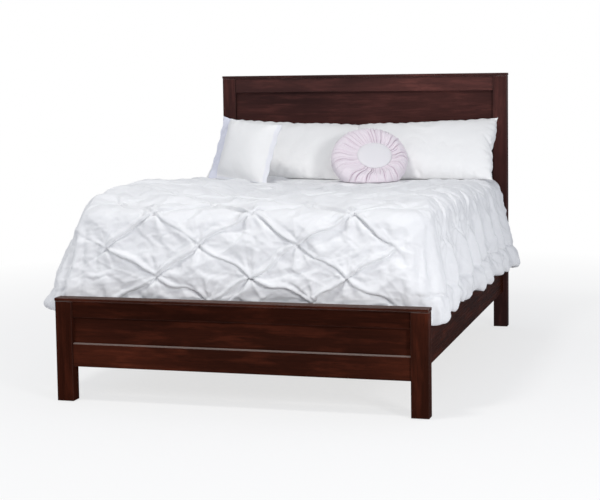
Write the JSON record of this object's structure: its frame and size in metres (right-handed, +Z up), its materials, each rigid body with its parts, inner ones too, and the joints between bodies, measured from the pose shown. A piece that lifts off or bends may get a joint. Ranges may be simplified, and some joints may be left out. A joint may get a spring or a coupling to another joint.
{
  "type": "bed",
  "caption": "Wooden panel bed with headboard and low footboard, made up with a foundation, mattress, pinch pleated comforter, sleeping pillows and a round gathered cushion.",
  "frame": {"origin": "on the floor under the middle of the bed, at the centre of the bounding box's bottom", "axes": "+X across the bed to the right as seen from the foot end, +Y from the footboard to the headboard, +Z up"},
  "size_m": [1.816, 2.213, 1.41],
  "materials": {
    "frame_wood": "satin dark espresso and cherry stain, fine straight grain",
    "slat_wood": "planed softwood, unfinished",
    "steel_hardware": "zinc plated steel",
    "glide_plastic": "black nylon",
    "foundation_fabric": "woven ticking",
    "mattress_fabric": "knitted ticking",
    "foam": "open cell foam",
    "spring_unit": "pocketed springs in bonded cloth, taken as one block",
    "comforter_fabric": "matte white cotton, pinch pleated",
    "pillow_fabric": "matte white cotton",
    "lumbar_fabric": "matte white cotton with a cool cast",
    "cushion_fabric": "satin, pale pink white, gathered",
    "cushion_disc_fabric": "satin, plain white"
  },
  "bodies": {
    "root": {"beam_bracket_foot": "steel_hardware", "beam_bracket_head": "steel_hardware", "centre_beam": "slat_wood", "centre_leg_1": "slat_wood", "centre_leg_2": "slat_wood", "comforter": "comforter_fabric", "foot_bottom_rail": "frame_wood", "foot_cap": "frame_wood", "foot_panel": "frame_wood", "foot_post_left": "frame_wood", "foot_post_right": "frame_wood", "foot_top_rail": "frame_wood", "foundation_cover": "foundation_fabric", "foundation_frame": "slat_wood", "foundation_slats": "slat_wood", "head_cap": "frame_wood", "head_lower_rail": "frame_wood", "head_middle_rail": "frame_wood", "head_panel": "frame_wood", "head_post_left": "frame_wood", "head_post_right": "frame_wood", "head_top_rail": "frame_wood", "hook_pins": "steel_hardware", "leg_inserts": "steel_hardware", "mattress_base_foam": "foam", "mattress_cover": "mattress_fabric", "mattress_spring_unit": "spring_unit", "mattress_top_foam": "foam", "post_glides": "glide_plastic", "rail_cleat_left": "slat_wood", "rail_cleat_right": "slat_wood", "rail_hook_plates": "steel_hardware", "side_rail_left": "frame_wood", "side_rail_right": "frame_wood", "slat_1": "slat_wood", "slat_2": "slat_wood", "slat_3": "slat_wood", "slat_4": "slat_wood", "slat_5": "slat_wood", "slat_6": "slat_wood", "slat_7": "slat_wood"},
    "levelling_foot_1": {"levelling_foot_1": "steel_hardware"},
    "levelling_foot_2": {"levelling_foot_2": "steel_hardware"},
    "back_pillow_right": {"back_pillow_right": "pillow_fabric"},
    "back_pillow_left": {"back_pillow_left": "pillow_fabric"},
    "round_cushion": {"round_cushion": "cushion_fabric", "cushion_discs": "cushion_disc_fabric"},
    "lumbar_pillow": {"lumbar_pillow": "lumbar_fabric"}
  },
  "joints": [
    {"name": "levelling_foot_1_travel", "type": "slide", "parent": "root", "child": "levelling_foot_1", "axis": [0, 0, 1], "range_m": [0, 0.012]},
    {"name": "levelling_foot_2_travel", "type": "slide", "parent": "root", "child": "levelling_foot_2", "axis": [0, 0, 1], "range_m": [0, 0.012]},
    {"name": "back_pillow_right_lift", "type": "slide", "parent": "root", "child": "back_pillow_right", "axis": [0, 0, 1], "range_m": [0, 0.6]},
    {"name": "back_pillow_left_lift", "type": "slide", "parent": "root", "child": "back_pillow_left", "axis": [-0.7071, 0, 0.7071], "range_m": [0, 0.9]},
    {"name": "round_cushion_lift", "type": "slide", "parent": "back_pillow_right", "child": "round_cushion", "axis": [0, -0.6, 0.8], "range_m": [0, 0.5]},
    {"name": "lumbar_pillow_lift", "type": "slide", "parent": "back_pillow_left", "child": "lumbar_pillow", "axis": [0, -0.6, 0.8], "range_m": [0, 0.5]}
  ]
}
